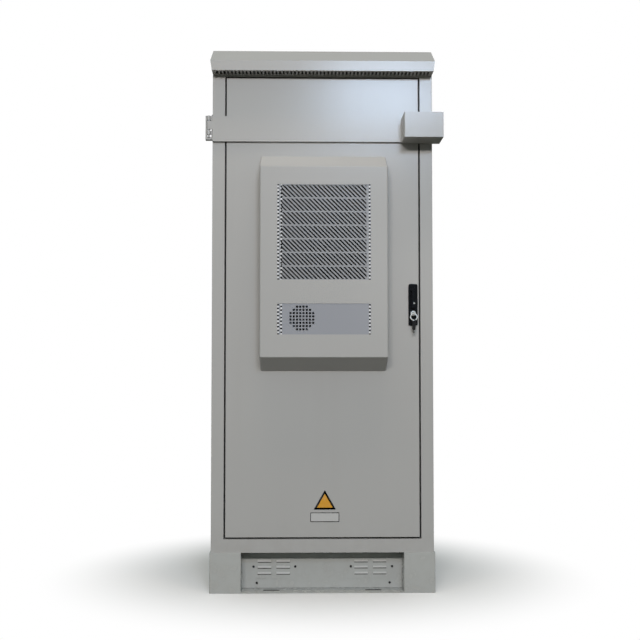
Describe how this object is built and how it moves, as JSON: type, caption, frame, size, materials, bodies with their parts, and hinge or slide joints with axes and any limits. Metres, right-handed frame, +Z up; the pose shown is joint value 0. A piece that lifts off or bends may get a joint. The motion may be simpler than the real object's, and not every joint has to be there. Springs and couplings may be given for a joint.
{
  "type": "roadside utility cabinet",
  "caption": "Outdoor equipment cabinet on a vented plinth, with a rain canopy, one rod-locked door, a door-mounted air conditioner and a hinged security bar with a padlock box.",
  "frame": {"origin": "centre of the anchor slot pattern, on the ground under the plinth", "axes": "+Z up; -Y is the door side; +X is the viewer's right when facing the door"},
  "size_m": [0.8515, 0.986, 1.969],
  "materials": {
    "body_paint": "satin fine-texture powder coat",
    "cover_paint": "satin powder coat",
    "grille_paint": "satin powder coat",
    "galvanised": "galvanised sheet",
    "rail_steel": "zinc plated",
    "hardware": "polished plated steel",
    "black_handle": "fine matte",
    "black_plastic": "moulded",
    "seal_rubber": "foamed rubber",
    "coil_fins": "dark coated fin stock",
    "compressor_black": "semi gloss black enamel",
    "key_metal": "plated"
  },
  "bodies": {
    "enclosure": {"front_post_left": "body_paint", "front_post_right": "body_paint", "frame_header": "body_paint", "frame_sill": "body_paint", "side_panel_left": "body_paint", "side_panel_right": "body_paint", "rear_panel": "body_paint", "canopy_shell": "body_paint", "canopy_vent_strip_front": "body_paint", "canopy_vent_strip_rear": "body_paint", "bar_hinge_bracket": "body_paint", "padlock_staple": "body_paint", "plinth_side_left": "body_paint", "plinth_side_right": "body_paint", "plinth_front_panel": "body_paint", "plinth_rear_panel": "body_paint", "vent_plate_left": "body_paint", "vent_plate_right": "body_paint", "floor_plate": "galvanised", "gland_plate": "galvanised", "top_plate": "galvanised", "canopy_spacers": "galvanised", "rail_supports": "galvanised", "rack_rail_front_left": "rail_steel", "rack_rail_front_right": "rail_steel", "rack_rail_rear_left": "rail_steel", "rack_rail_rear_right": "rail_steel", "hinge_frame_leaves": "rail_steel", "hinge_pins": "rail_steel", "plinth_bolts": "hardware", "door_gasket": "seal_rubber"},
    "door": {"door_panel": "body_paint", "hinge_side_stiffener": "galvanised", "lock_side_stiffener": "galvanised", "hinge_door_leaves": "rail_steel", "ac_cover": "cover_paint", "condenser_grille": "grille_paint", "fan_grille": "grille_paint", "ac_chassis": "galvanised", "condenser_coil": "coil_fins", "compressor": "compressor_black", "fan_housing": "black_plastic", "evaporator_coil": "coil_fins", "ac_inner_cover": "galvanised", "handle_base": "black_handle", "lock_gearbox": "galvanised", "rod_guides": "black_plastic"},
    "security_bar": {"security_bar": "body_paint", "lock_box": "body_paint"},
    "handle_spindle": {"handle_spindle": "hardware", "lock_pinion": "rail_steel"},
    "handle_lever": {"handle_lever": "black_handle"},
    "upper_lock_rod": {"upper_lock_rod": "rail_steel"},
    "lower_lock_rod": {"lower_lock_rod": "rail_steel"},
    "key": {"lock_plug": "hardware", "key": "key_metal"},
    "key_bunch": {"key_ring": "key_metal", "spare_key": "black_plastic"},
    "condenser_fan": {"condenser_fan": "black_plastic"},
    "evaporator_fan": {"evaporator_fan": "black_plastic"}
  },
  "joints": [
    {"name": "door_swing", "type": "hinge", "parent": "enclosure", "child": "door", "pos_m": [-0.341, -0.392, 0], "axis": [0, 0, -1], "range_deg": [0, 105]},
    {"name": "bar_swing", "type": "hinge", "parent": "enclosure", "child": "security_bar", "pos_m": [-0.4135, -0.407, 0], "axis": [0, 0, -1], "range_deg": [0, 126]},
    {"name": "handle_turn", "type": "hinge", "parent": "door", "child": "handle_spindle", "pos_m": [0.3275, -0.409, 1.088], "axis": [0, 1, 0], "range_deg": [0, 90]},
    {"name": "handle_lift", "type": "hinge", "parent": "handle_spindle", "child": "handle_lever", "pos_m": [0.3275, -0.416, 1.088], "axis": [-1, 0, 0], "range_deg": [0, 35]},
    {"name": "upper_rod_slide", "type": "slide", "parent": "door", "child": "upper_lock_rod", "axis": [0, 0, 1], "range_m": [-0.011, 0]},
    {"name": "lower_rod_slide", "type": "slide", "parent": "door", "child": "lower_lock_rod", "axis": [0, 0, 1], "range_m": [0, 0.011]},
    {"name": "key_turn", "type": "hinge", "parent": "door", "child": "key", "pos_m": [0.3275, -0.411, 1], "axis": [0, 1, 0], "range_deg": [0, 90]},
    {"name": "key_ring_swing", "type": "hinge", "parent": "key", "child": "key_bunch", "pos_m": [0.3275, -0.431, 1], "axis": [-1, 0, 0], "range_deg": [-10, 60]},
    {"name": "condenser_fan_spin", "type": "hinge", "parent": "door", "child": "condenser_fan", "pos_m": [-0.075, -0.49, 0.979], "axis": [0, 1, 0], "continuous": true},
    {"name": "evaporator_fan_spin", "type": "hinge", "parent": "door", "child": "evaporator_fan", "pos_m": [0.003, -0.35, 1.39], "axis": [0, 1, 0], "continuous": true}
  ],
  "couplings": [
    {"joint": "bar_swing", "follows": "door_swing", "ratio": 1.2},
    {"joint": "upper_rod_slide", "follows": "handle_turn", "m_per_rad": -0.007},
    {"joint": "lower_rod_slide", "follows": "handle_turn", "m_per_rad": 0.007}
  ]
}
